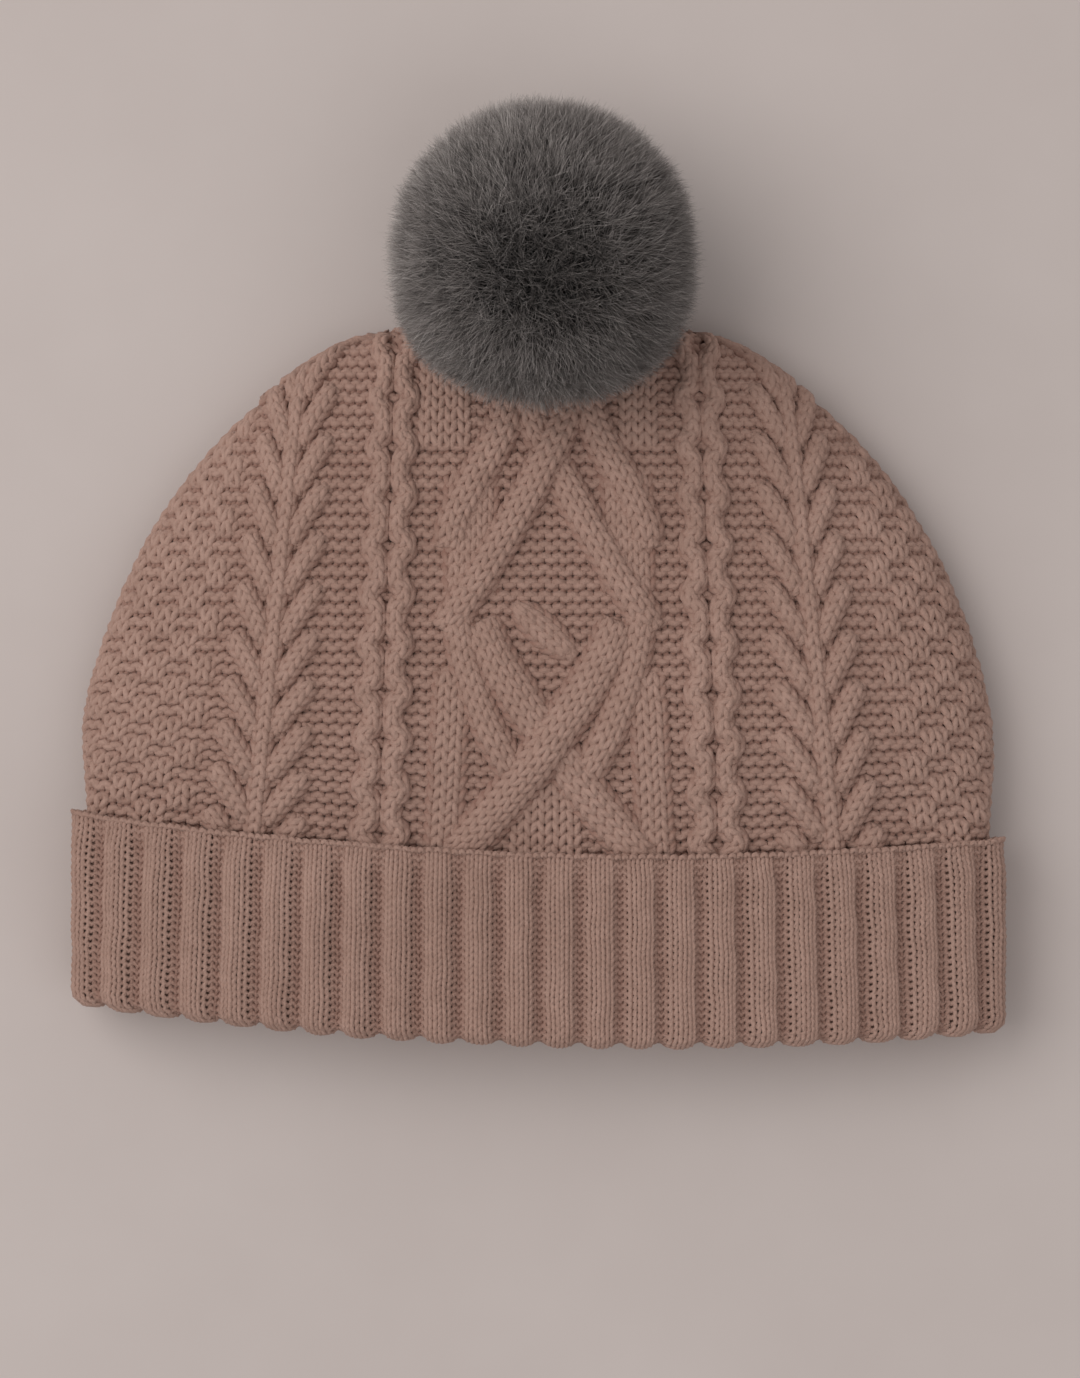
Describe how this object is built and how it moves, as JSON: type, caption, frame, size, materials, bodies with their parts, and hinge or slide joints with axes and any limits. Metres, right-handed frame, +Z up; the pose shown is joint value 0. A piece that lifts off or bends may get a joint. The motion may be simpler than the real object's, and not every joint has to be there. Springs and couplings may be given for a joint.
{
  "type": "pom pom beanie",
  "caption": "Cable-knit wool beanie with a turned-up rib cuff and a detachable faux-fur pom pom, lying flat as on a table.",
  "frame": {"origin": "on the table, under the middle of the whole hat's bounding box", "axes": "+Z up from the table through the flattened hat, +Y from the cuff to the crown's top and the pom pom, +X to the right as seen from above"},
  "size_m": [0.24, 0.2394, 0.0753],
  "materials": {
    "cable_knit": "soft wool yarn, dusty pink, cable knit",
    "rib_knit": "soft wool yarn, dusty pink, fine rib",
    "seam_yarn": "linked wool yarn",
    "faux_fur": "dense grey faux fur",
    "felt": "grey wool felt",
    "filling": "loose polyester fibre",
    "thread": "twisted sewing thread",
    "satin_label": "woven satin ribbon, blank",
    "snap_brass": "satin, nickel-tinted"
  },
  "bodies": {
    "hat": {"crown_front_panel": "cable_knit", "crown_back_panel": "cable_knit", "crown_seam": "seam_yarn", "cuff_inner_band": "rib_knit", "cuff_join_seam": "seam_yarn", "care_label": "satin_label", "size_label": "satin_label", "label_stitching": "thread", "reinforcing_felt": "felt", "snap_cap": "snap_brass", "snap_stud": "snap_brass"},
    "cuff": {"cuff_turn_up": "rib_knit", "cuff_cast_off": "rib_knit"},
    "socket": {"snap_socket": "snap_brass"},
    "shank": {"thread_shank": "thread"},
    "pom": {"pom_backing_disc": "felt", "pom_draw_thread": "thread", "pom_filling": "filling", "pom_fur_cover": "faux_fur"}
  },
  "joints": [
    {"name": "cuff_turn_down", "type": "slide", "parent": "hat", "child": "cuff", "axis": [0, -1, 0], "range_m": [0, 0.043]},
    {"name": "pom_unsnap", "type": "slide", "parent": "hat", "child": "socket", "axis": [0, 0.4418, 0.8971], "range_m": [0, 0.04]},
    {"name": "pom_nod", "type": "hinge", "parent": "socket", "child": "shank", "pos_m": [0.0005, 0.06617, 0.02446], "axis": [1, 0, 0], "range_deg": [-10, 12], "stiffness_Nm_per_rad": 0.05},
    {"name": "pom_sway", "type": "hinge", "parent": "shank", "child": "pom", "pos_m": [0.00065, 0.06924, 0.02703], "axis": [0, -0.6429, 0.766], "range_deg": [-12, 12], "stiffness_Nm_per_rad": 0.05}
  ]
}
